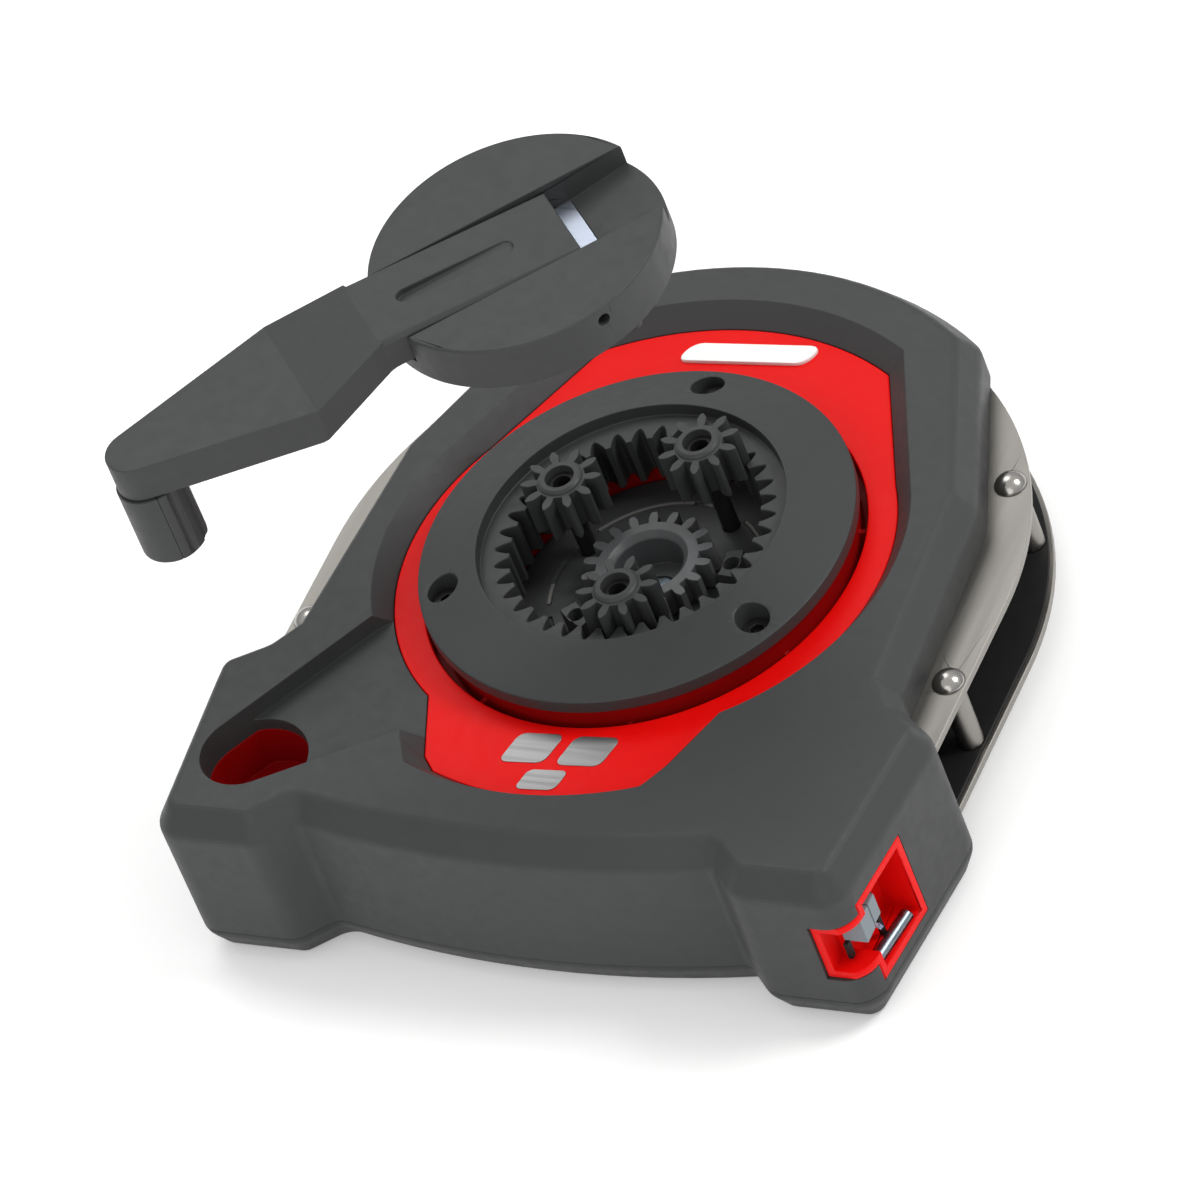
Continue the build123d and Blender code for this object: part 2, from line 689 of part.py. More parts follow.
def rear_housing():
    outer = case_face()
    shell = bevelled(outer, REAR_BEVEL_DEPTH - EDGE_SOFT, 0.0, REAR_BEVEL_WIDTH)
    shell += prism(outer, REAR_BEVEL_DEPTH, REAR_PLATE_TOP - PLATE_T) & half_space(FOOT_BACK_Y, True)
    shell -= disc(DRUM_R + FIT, WALL, 20)
    shell -= prism(foot_hollow(6.5), WALL, 20)
    for x, y in FOOT_POSTS:
        shell += disc(FOOT_POST_R + 0.8, 1.0, REAR_BEVEL_DEPTH, x, y)
        shell -= disc(FOOT_SCREW_R + FIT, -1, 20, x, y)
        shell -= disc(SCREW_HEAD_R + 0.3, -1, HEAD_POCKET, x, y)
    for x, y in arch_posts():
        shell -= disc(ARCH_SCREW_R + FIT, -1, 20, x, y)
        shell -= disc(SCREW_HEAD_R + 0.3, -1, HEAD_POCKET, x, y)
    shell += tube(7.5, BUSH_R, WALL - 0.5, SPOOL_BACK - 0.4)
    shell -= disc(BUSH_R + PRESS, REAR_BUSH_LOW, 20)
    for x, y in rivet_places():
        shell -= disc(RIVET_R + 0.15, 3, REAR_PLATE_TOP - PLATE_T + 0.1, x, y)
    return shell


def rivet_places():
    return [(side * x, y) for x, y in STANDOFFS for side in (1, -1)]


def side_plate(z_top):
    plate = prism(side_plate_face(), z_top - PLATE_T, z_top) - disc(DRUM_R + 0.05, 0, 40)
    for x, y in rivet_places():
        plate -= disc(RIVET_SHANK_R + PRESS, 0, 40, x, y)
    for x, y in arch_posts():
        plate -= disc(ARCH_SCREW_R + FIT, 0, 40, x, y)
    for x, y in FOOT_POSTS:
        plate -= disc(FOOT_POST_R + 0.1, 0, 40, x, y)
    return plate


def rear_liner():
    """Black cover sheet on the rear side plate."""
    sheet = prism(offset(side_plate_face(), -0.8), REAR_PLATE_TOP, REAR_PLATE_TOP + LINER_T)
    sheet = (sheet & half_space(FOOT_BACK_Y + 0.3, True)) - disc(DRUM_R + 0.05, 0, 40)
    for x, y in rivet_places():
        sheet -= disc(STANDOFF_R + 0.1, 0, 40, x, y)
    for x, y in arch_posts():
        sheet -= disc(SPACER_R + 0.1, 0, 40, x, y)
    return sheet


def frame_standoffs():
    low, high = REAR_PLATE_TOP, FRONT_PLATE_TOP - PLATE_T
    return Compound([tube(STANDOFF_R, RIVET_SHANK_R + PRESS, low, high, x, y) for x, y in rivet_places()])


def dome(radius, height):
    """Spherical cap that stands on z = 0."""
    ball_r = (radius ** 2 + height ** 2) / (2 * height)
    return (Pos(0, 0, height - ball_r) * Sphere(ball_r)) & disc(radius + 1, 0, height + 1)


def frame_rivets():
    rivets = []
    low, high = REAR_PLATE_TOP - PLATE_T, FRONT_PLATE_TOP
    for x, y in rivet_places():
        head = Pos(x, y, high) * dome(RIVET_R, DOME_H)
        foot = Pos(x, y, low) * Rot(180, 0, 0) * dome(RIVET_R, DOME_H)
        rivets.append(head + foot + disc(RIVET_SHANK_R, low - 0.1, high + 0.1, x, y))
    return Compound(rivets)


def arch_spacers():
    low, high = REAR_PLATE_TOP, FRONT_PLATE_TOP - PLATE_T
    return Compound([tube(SPACER_R, ARCH_SCREW_R + 0.1, low, high, x, y) for x, y in arch_posts()])


def upward_screws(places, top, radius):
    """Cap screws driven from the back of the case."""
    screws = []
    for x, y in places:
        screw = disc(radius, 2.4, top, x, y) + disc(SCREW_HEAD_R, 0.4, HEAD_POCKET, x, y)
        socket = extrude(RegularPolygon(SCREW_HEAD_R * 0.5, 6), 1.3)
        screws.append(screw - Pos(x, y, 0.3) * socket)
    return Compound(screws)


def chalk_drum():
    """Black inner drum that holds chalk around the spool, open where the line leaves."""
    drum = tube(DRUM_R, DRUM_R - 2, WALL + 0.05, CHASSIS_FLOOR - CHASSIS_FLOOR_T - 0.05)
    drum += tube(DRUM_R, CHASSIS_R + 0.15, CHASSIS_FLOOR - 3, FRONT_PLATE_TOP - 0.05)
    gap = block(-34, 46, -70, -40, 6, 19.5)
    return drum - gap


def gear_chassis():
    """Red inner frame: floor over the spool, seat of the ring gear, moat, face plate support."""
    top = FACE_TOP - FACE_THICK - 0.02
    body = disc(CHASSIS_R, CHASSIS_FLOOR - CHASSIS_FLOOR_T, top)
    body -= disc(CARRIER_R + 0.7, CHASSIS_FLOOR, top + 1)
    body -= disc(RING_BODY_R + 0.1, TEETH_BOTTOM, top + 1)
    body -= tube(MOAT_R, SEAT_R, MOAT_FLOOR, top + 1)
    body += tube(SEAT_R, RING_BODY_R + 0.1, TEETH_BOTTOM - 0.5, FLANGE_EDGE_Z - FLANGE_SIDE - 0.02)
    for angle in range(18, 378, 45):
        rib = Rot(0, 0, angle) * block(SEAT_R - 0.4, MOAT_R + 0.5, -0.5, 0.5, MOAT_FLOOR - 0.5, top)
        body += rib
    body -= disc(FRONT_BUSH_R + 0.02, 10, 40)
    for angle in SCREW_ANGLES:
        x, y = polar(SCREW_CIRCLE, angle)
        body -= disc(SCREW_R + 0.02, CHASSIS_FLOOR + 0.5, 40, x, y)
        body -= disc(SCREW_HEAD_R + 0.2, SCREW_SEAT_Z - 0.1, 40, x, y)
    return body


def face_plate():
    plate = prism(offset(Face(face_plate_wire()), -0.12), FACE_TOP - FACE_THICK, FACE_TOP)
    return plate - disc(MOAT_R, 20, 40)


def knob_cup():
    cup = prism(pocket_outline(CUP_T), CUP_FLOOR - 1.4, CUP_TOP)
    return cup - prism(pocket_outline(), CUP_FLOOR, CASE_DEPTH)


# ---- crank --------------------------------------------------------------
def arm_frame():
    return Rot(0, 0, ARM_ANGLE)


def hinge_bore(radius):
    return Pos(-HINGE_BACK, 0, HUB_TOP - HINGE_DEPTH) * Rot(90, 0, 0) * Cylinder(radius, 60)


def arm_channel(low):
    """Slot across the hub that the arm folds in, with room for its root and a ramp it rests on when out."""
    top = HUB_TOP
    half = ARM_HALF + 0.3
    floor = top - ARM_T - 0.5
    sweep_r = math.hypot(ARM_ROOT_BACK - HINGE_BACK, HINGE_DEPTH) + 0.35
    channel = block(-40, 40, -half, half, floor, top + 1)
    channel += block(-HINGE_BACK - sweep_r, -HINGE_BACK + sweep_r, -half, half, top - HINGE_DEPTH - sweep_r, top)
    seat_half = SPRING_HALF + 0.1
    channel += block(-SPRING_END - 0.1, -HINGE_BACK, -seat_half, seat_half, floor - 0.5, top)
    side = [(-RAMP_START, low + 1), (-RAMP_START, floor), (-40, top - RAMP_DEPTH), (-40, low + 1)]
    ramp = Plane.XZ * make_face(Polyline(*side, close=True).edges())
    return channel - extrude(ramp, ARM_HALF + 1, both=True)


def crank_hub():
    low = HUB_TOP - HUB_T
    body = disc(HUB_R, low, HUB_TOP)
    body = chamfer(body.edges().group_by(Axis.Z)[-1], 0.35)
    body -= arm_frame() * (arm_channel(low) + hinge_bore(HINGE_PIN_R + PRESS))
    for angle in LUG_ANGLES:
        x, y = polar(LUG_CIRCLE, angle)
        body += disc(DOG_R, low - DOG_L, low + 0.2, x, y)
    return body


def detent_spring():
    """Steel leaf that the root of the arm snaps past."""
    z = HUB_TOP - ARM_T - 0.9
    return arm_frame() * block(-SPRING_END, -SPRING_START, -SPRING_HALF, SPRING_HALF, z, z + 0.5)


def hinge_pin():
    pin = Cylinder(HINGE_PIN_R, HINGE_PIN_L)
    return arm_frame() * (Pos(-HINGE_BACK, 0, HUB_TOP - HINGE_DEPTH) * Rot(90, 0, 0) * pin)


def arm_plan():
    """Plan of the arm: straight root, lozenge paddle and a round tip over the knob."""
    wide = (PADDLE_WIDE, PADDLE_HALF)
    touch = tangent_from(*wide, TIP_REACH, TIP_R)
    upper = [(-ARM_ROOT_BACK, ARM_HALF), (PADDLE_START, ARM_HALF), wide, touch]
    lower = [(x, -y) for x, y in reversed(upper)]
    tip = ThreePointArc(touch, (TIP_REACH + TIP_R, 0), lower[0])
    left = Polyline(*upper)
    right = Polyline(*lower)
    back = Line(lower[-1], upper[0])
    return make_face(left.edges() + ShapeList([tip.edge()]) + right.edges() + ShapeList([back.edge()]))


def arm_relief():
    """Wedges that take the long top edges off the root of the arm."""
    length = ARM_RELIEF_END + ARM_ROOT_BACK + 2
    run = PADDLE_START + ARM_ROOT_BACK
    slope = math.degrees(math.atan2(ARM_ROOT_DROP + ARM_BEND_RISE, run))
    middle = ARM_RELIEF_END - length / 2
    height = HUB_TOP - ARM_ROOT_DROP + (middle + ARM_ROOT_BACK) * (ARM_ROOT_DROP + ARM_BEND_RISE) / run
    width = ARM_RELIEF * math.sqrt(2)
    wedge = Rot(45, 0, 0) * Box(length, width, width)
    return [Pos(middle, side * ARM_HALF, height) * Rot(0, -slope, 0) * wedge for side in (1, -1)]


def crank_arm():
    top = HUB_TOP
    side = [(-ARM_ROOT_BACK, top - ARM_ROOT_DROP), (PADDLE_START, top + ARM_BEND_RISE),
            (PADDLE_WIDE, top - PADDLE_DIP),
            (90, top - PADDLE_DIP + 0.3), (90, top - PADDLE_DIP - PADDLE_T + 0.2),
            (PADDLE_WIDE + 1, top - PADDLE_DIP - PADDLE_T), (PADDLE_START - 1.2, top - ARM_T),
            (-ARM_ROOT_BACK, top - ARM_T)]
    profile = Plane.XZ * make_face(Polyline(*side, close=True).edges())
    slab = extrude(profile, 40, both=True)
    arm = slab & prism(arm_plan(), top - 30, top + 5)
    arm -= arm_relief()
    arm -= hinge_bore(HINGE_PIN_R + RUNNING)
    arm -= disc(AXLE_R + PRESS, top - 30, top - 5.5, KNOB_REACH)
    mark = Pos(11.5, 0, top - 0.6) * extrude(SlotOverall(22, 3.2), 2)
    return arm_frame() * (arm - mark)


def knob_body():
    """Whole knob turned about its axle, with a counterbore for the axle head."""
    high = HUB_TOP - PADDLE_DIP - PADDLE_T + 0.22 - 0.15 - 0.1
    low = HUB_TOP - KNOB_DROP
    body = disc(KNOB_R, low, high)
    body = chamfer(body.edges().group_by(Axis.Z)[0], 0.7)
    body -= disc(AXLE_R + RUNNING, low - 1, high + 1)
    return body - disc(AXLE_HEAD_R + 0.25, low - 1, low + 2.4)


def knob_smooth():
    half = knob_body() & block(0.6, 20, -20, 20, 50, 120)
    return arm_frame() * (Pos(KNOB_REACH, 0, 0) * half)


def knob_ribbed():
    half = knob_body() & block(-20, 0.55, -20, 20, 50, 120)
    for angle in (110, 145, 180, 215, 250):
        x, y = polar(KNOB_R + 0.25, angle)
        half -= disc(0.95, 50, 120, x, y)
    half -= block(-20, -1.2, -1.6, 1.6, 50, HUB_TOP - KNOB_DROP + 1.0)
    return arm_frame() * (Pos(KNOB_REACH, 0, 0) * half)


def knob_axle():
    low = HUB_TOP - KNOB_DROP
    axle = disc(AXLE_R, low + 0.3, HUB_TOP - 6.0) + disc(AXLE_HEAD_R, low + 0.3, low + 2.3)
    slot = block(-5, 5, -0.4, 0.4, low, low + 1.1)
    return arm_frame() * (Pos(KNOB_REACH, 0, 0) * (axle - slot))


def build_all():
    parts = {
        "front_housing": front_housing(), "rear_housing": rear_housing(),
        "front_side_plate": side_plate(FRONT_PLATE_TOP), "rear_side_plate": side_plate(REAR_PLATE_TOP),
        "rear_liner": rear_liner(), "frame_standoffs": frame_standoffs(), "frame_rivets": frame_rivets(),
        "arch_spacers": arch_spacers(), "chalk_drum": chalk_drum(), "gear_chassis": gear_chassis(),
        "face_plate": face_plate(), "knob_cup": knob_cup(), "outlet_frame": outlet_frame(),
        "wear_pin": wear_pin(), "line_wiper": line_wiper(), "wiper_bars": wiper_bars(),
        "line_run": line_path(0.5), "fill_door": fill_door(), "door_pin": door_pin(),
        "ring_gear": ring_gear(), "ring_gear_screws": ring_screws(), "sun_gear": sun_gear(),
        "carrier_plate": carrier_plate(), "planet_pins": planet_pins(),
        "carrier_washer": tube(13.0, STEM_R + 0.3, CHASSIS_FLOOR + 0.02, CARRIER_TOP - CARRIER_T - 0.02),
        "spool": spool(), "wound_line": wound_line(), "spool_shaft": spool_shaft(),
        "rear_bush": tube(BUSH_R, SHAFT_R + RUNNING, REAR_BUSH_LOW + PRESS, SPOOL_BACK - 0.1),
        "front_bush": tube(FRONT_BUSH_R, STEM_R + RUNNING, CHASSIS_FLOOR - CHASSIS_FLOOR_T, CHASSIS_FLOOR),
        "crank_hub": crank_hub(), "detent_spring": detent_spring(), "hinge_pin": hinge_pin(),
        "crank_arm": crank_arm(), "knob_smooth": knob_smooth(), "knob_ribbed": knob_ribbed(),
        "knob_axle": knob_axle(),
        "foot_screws": upward_screws(FOOT_POSTS, FOOT_SCREW_TOP, FOOT_SCREW_R),
        "arch_screws": upward_screws(arch_posts(), ARCH_SCREW_TOP, ARCH_SCREW_R),
    }
    for number, (angle, lift) in enumerate(zip(planet_angles(), PLANET_LIFTS), 1):
        parts[f"planet_gear_{number}"] = planet_gear(angle, PLANET_SEAT + lift)
        parts[f"planet_bush_{number}"] = planet_bush(angle, PLANET_SEAT + lift)
    return parts


if __name__ == "__main__":
    os.makedirs("parts", exist_ok=True)
    for name, shape in build_all().items():
        export_step(shape, f"parts/{name}.step")
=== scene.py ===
"""Looks of the chalk line reel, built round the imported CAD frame.  Metres."""
import math

import bpy
from mathutils import Matrix, Vector


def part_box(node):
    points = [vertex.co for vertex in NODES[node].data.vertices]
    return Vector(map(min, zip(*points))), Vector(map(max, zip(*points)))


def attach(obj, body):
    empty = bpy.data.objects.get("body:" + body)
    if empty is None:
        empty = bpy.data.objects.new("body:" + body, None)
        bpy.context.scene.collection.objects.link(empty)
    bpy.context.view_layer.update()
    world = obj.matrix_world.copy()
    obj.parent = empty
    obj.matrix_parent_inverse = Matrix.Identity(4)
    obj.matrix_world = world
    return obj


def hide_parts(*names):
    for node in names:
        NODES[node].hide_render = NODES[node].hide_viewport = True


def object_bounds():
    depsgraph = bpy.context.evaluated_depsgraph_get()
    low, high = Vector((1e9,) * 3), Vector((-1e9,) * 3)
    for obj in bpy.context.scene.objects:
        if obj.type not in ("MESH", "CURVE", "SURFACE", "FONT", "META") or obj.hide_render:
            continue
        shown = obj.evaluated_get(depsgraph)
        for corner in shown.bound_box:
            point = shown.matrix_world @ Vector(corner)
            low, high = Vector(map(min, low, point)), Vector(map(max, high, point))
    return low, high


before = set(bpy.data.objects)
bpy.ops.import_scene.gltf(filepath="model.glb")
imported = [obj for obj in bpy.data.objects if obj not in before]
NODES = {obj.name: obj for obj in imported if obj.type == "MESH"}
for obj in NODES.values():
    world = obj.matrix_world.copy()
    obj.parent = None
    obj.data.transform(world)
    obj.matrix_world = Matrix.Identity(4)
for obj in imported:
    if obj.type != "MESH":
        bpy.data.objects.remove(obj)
cad_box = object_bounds()
MM = 0.001


# ---- shader helpers -----------------------------------------------------
NOISE_LOW, NOISE_HIGH = 0.3, 0.7      # the part of a noise's range that is spread out
MIX_FACTOR, MIX_FIRST, MIX_SECOND = 0, 6, 7     # colour sockets of the Mix node
MIX_RESULT = 2
EDGE_SAMPLES = 4


def srgb(red, green, blue):
    """Linear colour of an sRGB value given in 0 to 255."""
    def linear(value):
        c = value / 255
        return c / 12.92 if c <= 0.04045 else ((c + 0.055) / 1.055) ** 2.4
    return (linear(red), linear(green), linear(blue), 1.0)


def lighter(colour, factor):
    """The colour times a factor; a factor under 1 makes it darker."""
    return tuple(min(1.0, c * factor) for c in colour[:3]) + (1.0,)


class Shader:
    """A Principled material under construction, with helpers for its node tree."""

    def __init__(self, name):
        self.material = bpy.data.materials.new(name)
        self.material.use_nodes = True
        self.tree = self.material.node_tree
        self.bsdf = self.tree.nodes["Principled BSDF"]
        self.place = self.node("ShaderNodeTexCoord").outputs["Object"]

    def node(self, kind, **values):
        made = self.tree.nodes.new(kind)
        for key, value in values.items():
            setattr(made, key, value)
        return made

    def link(self, output, target):
        self.tree.links.new(output, target)

    def feed(self, value, target):
        """Sets an input to a number or colour, or links an output to it."""
        if isinstance(value, (tuple, float, int)):
            target.default_value = value
        else:
            self.link(value, target)

    def noise(self, scale, detail=3.0, stretch=None):
        """Noise whose features are about 1 / scale metres across."""
        made = self.node("ShaderNodeTexNoise")
        made.inputs["Scale"].default_value = scale
        made.inputs["Detail"].default_value = detail
        source = self.place
        if stretch:
            mapping = self.node("ShaderNodeMapping")
            mapping.inputs["Scale"].default_value = stretch
            self.link(self.place, mapping.inputs["Vector"])
            source = mapping.outputs["Vector"]
        self.link(source, made.inputs["Vector"])
        return made.outputs["Fac"]

    def span(self, value, low, high):
        """Noise value spread from low to high."""
        made = self.node("ShaderNodeMapRange")
        made.inputs["From Min"].default_value = NOISE_LOW
        made.inputs["From Max"].default_value = NOISE_HIGH
        made.inputs["To Min"].default_value = low
        made.inputs["To Max"].default_value = high
        self.link(value, made.inputs["Value"])
        return made.outputs["Result"]

    def mix(self, factor, first, second):
        made = self.node("ShaderNodeMix", data_type="RGBA")
        self.feed(factor, made.inputs[MIX_FACTOR])
        self.feed(first, made.inputs[MIX_FIRST])
        self.feed(second, made.inputs[MIX_SECOND])
        return made.outputs[MIX_RESULT]

    def edges(self, radius, gain):
        """1 near sharp edges and 0 on open faces."""
        bevel = self.node("ShaderNodeBevel", samples=EDGE_SAMPLES)
        bevel.inputs["Radius"].default_value = radius
        normal = self.node("ShaderNodeNewGeometry").outputs["Normal"]
        dot = self.node("ShaderNodeVectorMath", operation="DOT_PRODUCT")
        self.link(bevel.outputs["Normal"], dot.inputs[0])
        self.link(normal, dot.inputs[1])
        drop = self.node("ShaderNodeMath", operation="SUBTRACT")
        drop.inputs[0].default_value = 1.0
        self.link(dot.outputs["Value"], drop.inputs[1])
        return self.times(drop.outputs[0], gain)

    def times(self, first, second):
        """Product of two values, kept within 0 and 1."""
        made = self.node("ShaderNodeMath", operation="MULTIPLY", use_clamp=True)
        self.feed(first, made.inputs[0])
        self.feed(second, made.inputs[1])
        return made.outputs[0]

    def bump(self, layers):
        """Stacked bumps: a list of (height, strength, depth in metres)."""
        normal = None
        for height, strength, depth in layers:
            made = self.node("ShaderNodeBump")
            made.inputs["Strength"].default_value = strength
            made.inputs["Distance"].default_value = depth
            self.link(height, made.inputs["Height"])
            if normal:
                self.link(normal, made.inputs["Normal"])
            normal = made.outputs["Normal"]
        self.link(normal, self.bsdf.inputs["Normal"])

    def colour(self, value):
        self.link(value, self.bsdf.inputs["Base Color"])

    def roughness(self, value):
        self.link(value, self.bsdf.inputs["Roughness"])

    def fixed(self, **values):
        """Principled inputs that hold one value, with _ for the spaces in their names."""
        for key, value in values.items():
            self.bsdf.inputs[key.replace("_", " ")].default_value = value


# ---- materials ----------------------------------------------------------
def moulded(name, base, rough, specular, grain=0.25, edge=1.35):
    """Moulded plastic: fine spark texture, faint mottling, and a painted highlight that lightens
    the edges by the edge factor, in patches.
    """
    shader = Shader(name)
    mottled = shader.mix(shader.noise(55.0, 4.0), lighter(base, 0.93), lighter(base, 1.07))
    # painted highlight: lighter colour along the edges, broken into patches by noise
    edge_highlight_mask = shader.edges(0.6 * MM, 2.2)
    patchy_edge_highlight = shader.times(edge_highlight_mask, shader.span(shader.noise(260.0), 0.35, 1.0))
    shader.colour(shader.mix(patchy_edge_highlight, mottled, lighter(base, edge)))
    shader.roughness(shader.span(shader.noise(420.0), rough - 0.05, rough + 0.06))
    shader.bump([
        (shader.noise(2300.0, 2.0), grain, 0.03 * MM),
        (shader.noise(90.0), 0.08, 0.12 * MM),
    ])
    shader.fixed(Specular_IOR_Level=specular)
    return shader.material


def rolled(name, base, rough, along, streak=0.35, rim=1.5):
    """Rolled or brushed sheet: long streaks along one direction, and a painted highlight that
    brightens the edges by the rim factor.
    """
    shader = Shader(name)
    lines = shader.noise(1.0, 3.0, stretch=along)
    tone = shader.mix(lines, lighter(base, 0.90), lighter(base, 1.08))
    tone = shader.mix(shader.times(shader.noise(70.0), 0.35), tone, lighter(base, 0.86))
    # painted highlight: the edges lightened by the rim factor
    shader.colour(shader.mix(shader.edges(0.35 * MM, 2.0), tone, lighter(base, rim)))
    shader.roughness(shader.span(lines, rough - 0.06, rough + 0.08))
    shader.bump([(lines, streak, 0.01 * MM), (shader.noise(140.0), 0.05, 0.05 * MM)])
    shader.fixed(Metallic=1.0)
    return shader.material


def turned(name, base, rough, metallic=1.0):
    """Small turned or ground metal parts: faint smudges and fine tooling."""
    shader = Shader(name)
    smudges = shader.noise(350.0, 4.0)
    shader.colour(shader.mix(smudges, lighter(base, 0.88), lighter(base, 1.08)))
    shader.roughness(shader.span(shader.noise(900.0), rough * 0.75, rough * 1.4))
    tooling = shader.noise(1.0, 2.0, stretch=(300.0, 300.0, 5200.0))
    shader.bump([(tooling, 0.12, 0.008 * MM)])
    shader.fixed(Metallic=metallic, Specular_IOR_Level=0.5)
    return shader.material


def cord(name, base, chalk):
    """Twisted cord with chalk dust caught between its strands."""
    shader = Shader(name)
    fibres = shader.noise(5200.0, 4.0)
    dust = shader.span(shader.noise(900.0, 3.0), 0.15, 0.85)
    clean = shader.mix(fibres, lighter(base, 0.8), lighter(base, 1.15))
    shader.colour(shader.mix(dust, clean, chalk))
    shader.roughness(shader.span(fibres, 0.82, 0.98))
    shader.bump([(fibres, 0.6, 0.05 * MM)])
    shader.fixed(Specular_IOR_Level=0.15, Sheen_Weight=0.3)
    return shader.material


def felt(name, base):
    """Pressed felt: matted fibres."""
    shader = Shader(name)
    fibres = shader.noise(1.0, 5.0, stretch=(2600.0, 900.0, 2600.0))
    shader.colour(shader.mix(fibres, lighter(base, 0.82), lighter(base, 1.12)))
    shader.roughness(shader.span(fibres, 0.8, 0.97))
    shader.bump([(fibres, 0.4, 0.05 * MM)])
    shader.fixed(Specular_IOR_Level=0.2, Sheen_Weight=0.2)
    return shader.material


# streak directions: noise scale along x, y and z, smallest along the streak
ALONG_YZ = (900.0, 25.0, 25.0)
ALONG_LEAF = (60.0, 1500.0, 60.0)
ALONG_INLAY = (40.0, 1200.0, 40.0)

MATERIALS = {
    "housing": moulded("housing_plastic", srgb(58, 59, 59), 0.5, 0.3),
    "housing_rear": moulded("rear_housing_plastic", srgb(52, 53, 53), 0.52, 0.3),
    "crank": moulded("crank_plastic", srgb(57, 58, 58), 0.5, 0.3),
    "gear": moulded("gear_plastic", srgb(54, 55, 55), 0.46, 0.32, grain=0.12),
    "sun": moulded("sun_gear_plastic", srgb(82, 83, 84), 0.42, 0.4, grain=0.12),
    "carrier": moulded("carrier_plastic", srgb(58, 59, 60), 0.46, 0.35, grain=0.12),
    "red": moulded("red_plastic", srgb(222, 9, 7), 0.4, 0.12, grain=0.1, edge=1.1),
    # darker copies of the red plastic: painted shade for the chassis seen under the ring gear and
    # for the knob's cup
    "red_painted_shade": moulded("red_plastic_painted_shade", srgb(150, 6, 6), 0.45, 0.15, grain=0.1, edge=1.05),
    "red_cup_painted_shade": moulded("shaded_red_cup_plastic", srgb(150, 5, 6), 0.45, 0.15, grain=0.1, edge=1.05),
    "line_inlay": moulded("carrier_line_paint", srgb(108, 107, 104), 0.5, 0.3,
                          grain=0.1, edge=1.0),
    "black": moulded("black_plastic", srgb(26, 26, 26), 0.55, 0.3),
    # the frame plates get a strong painted highlight along their edges (rim factor 3.2)
    "frame": rolled("frame_steel", srgb(146, 143, 138), 0.4, ALONG_YZ, rim=3.2),
    "leaf": rolled("spring_steel", srgb(186, 194, 208), 0.42, ALONG_LEAF),
    "polished": turned("polished_steel", srgb(166, 163, 159), 0.2),
    "pin": turned("ground_steel", srgb(128, 140, 149), 0.3),
    "screw": turned("black_oxide", srgb(46, 46, 47), 0.38, metallic=0.6),
    "bronze": turned("sintered_bronze", srgb(176, 142, 82), 0.4),
    "felt": felt("wiper_felt", srgb(122, 132, 138)),
    "cord": cord("chalk_cord", srgb(205, 205, 200), srgb(96, 128, 190)),
    "white": moulded("white_plastic", srgb(238, 238, 236), 0.38, 0.45, grain=0.08, edge=1.0),
    "silver": rolled("silver_inlay", srgb(150, 150, 150), 0.36, ALONG_INLAY, streak=0.15),
}

# material, bevel width in mm and bevel segments of every CAD node that stays visible
FINISH = {
    "front_housing": ("housing", 0.15, 2), "rear_housing": ("housing_rear", 0.15, 2),
    "front_side_plate": ("frame", 0.18, 2), "rear_side_plate": ("frame", 0.18, 2),
    "rear_liner": ("black", 0.1, 1), "frame_standoffs": ("frame", 0.12, 1),
    "frame_rivets": ("polished", 0.15, 2), "arch_spacers": ("black", 0.2, 2),
    # gear_chassis and knob_cup take the darker red that paints in the shade of their recesses
    "chalk_drum": ("black", 0.3, 2), "gear_chassis": ("red_painted_shade", 0.25, 2),
    "face_plate": ("red", 0.3, 2), "knob_cup": ("red_cup_painted_shade", 0.2, 2),
    "outlet_frame": ("red", 0.22, 2), "wear_pin": ("pin", 0.3, 2),
    "line_wiper": ("felt", 0.2, 2), "wiper_bars": ("black", 0.12, 2),
    "fill_door": ("housing", 0.12, 2), "door_pin": ("pin", 0.12, 2),
    "ring_gear": ("gear", 0.25, 2), "ring_gear_screws": ("screw", 0.12, 2),
    "sun_gear": ("sun", 0.16, 2), "carrier_plate": ("carrier", 0.18, 2),
    "planet_pins": ("screw", 0.2, 2), "carrier_washer": ("pin", 0.05, 1),
    "spool": ("black", 0.3, 2), "spool_shaft": ("pin", 0.2, 2),
    "rear_bush": ("bronze", 0.2, 2), "front_bush": ("bronze", 0.15, 2),
    "crank_hub": ("crank", 0.18, 2), "detent_spring": ("leaf", 0.1, 2),
    "hinge_pin": ("black", 0.2, 2), "crank_arm": ("crank", 0.25, 2),
    "knob_smooth": ("crank", 0.2, 2), "knob_ribbed": ("gear", 0.12, 2),
    "knob_axle": ("screw", 0.15, 2), "foot_screws": ("screw", 0.15, 2),
    "arch_screws": ("screw", 0.15, 2),
}
for number in (1, 2, 3):
    FINISH[f"planet_gear_{number}"] = ("gear", 0.14, 2)
    FINISH[f"planet_bush_{number}"] = ("black", 0.08, 1)

WELD_GAP = 0.001 * MM
SHARP_ANGLE = math.radians(28)      # edges under this angle belong to a curved face


def soften(obj, width, segments):
    """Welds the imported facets, rounds the sharp edges and evens the shading."""
    weld = obj.modifiers.new("weld", "WELD")
    weld.merge_threshold = WELD_GAP
    bevel = obj.modifiers.new("round_edges", "BEVEL")
    bevel.width = width
    bevel.segments = segments
    bevel.limit_method = "ANGLE"
    bevel.angle_limit = SHARP_ANGLE
    bevel.use_clamp_overlap = False
    bevel.harden_normals = True
    shade = obj.modifiers.new("even_shading", "WEIGHTED_NORMAL")
    shade.keep_sharp = True


def paint(obj, material):
    obj.data.materials.clear()
    obj.data.materials.append(MATERIALS[material])


for node, (material, width, segments) in FINISH.items():
    paint(NODES[node], material)
    soften(NODES[node], width * MM, segments)


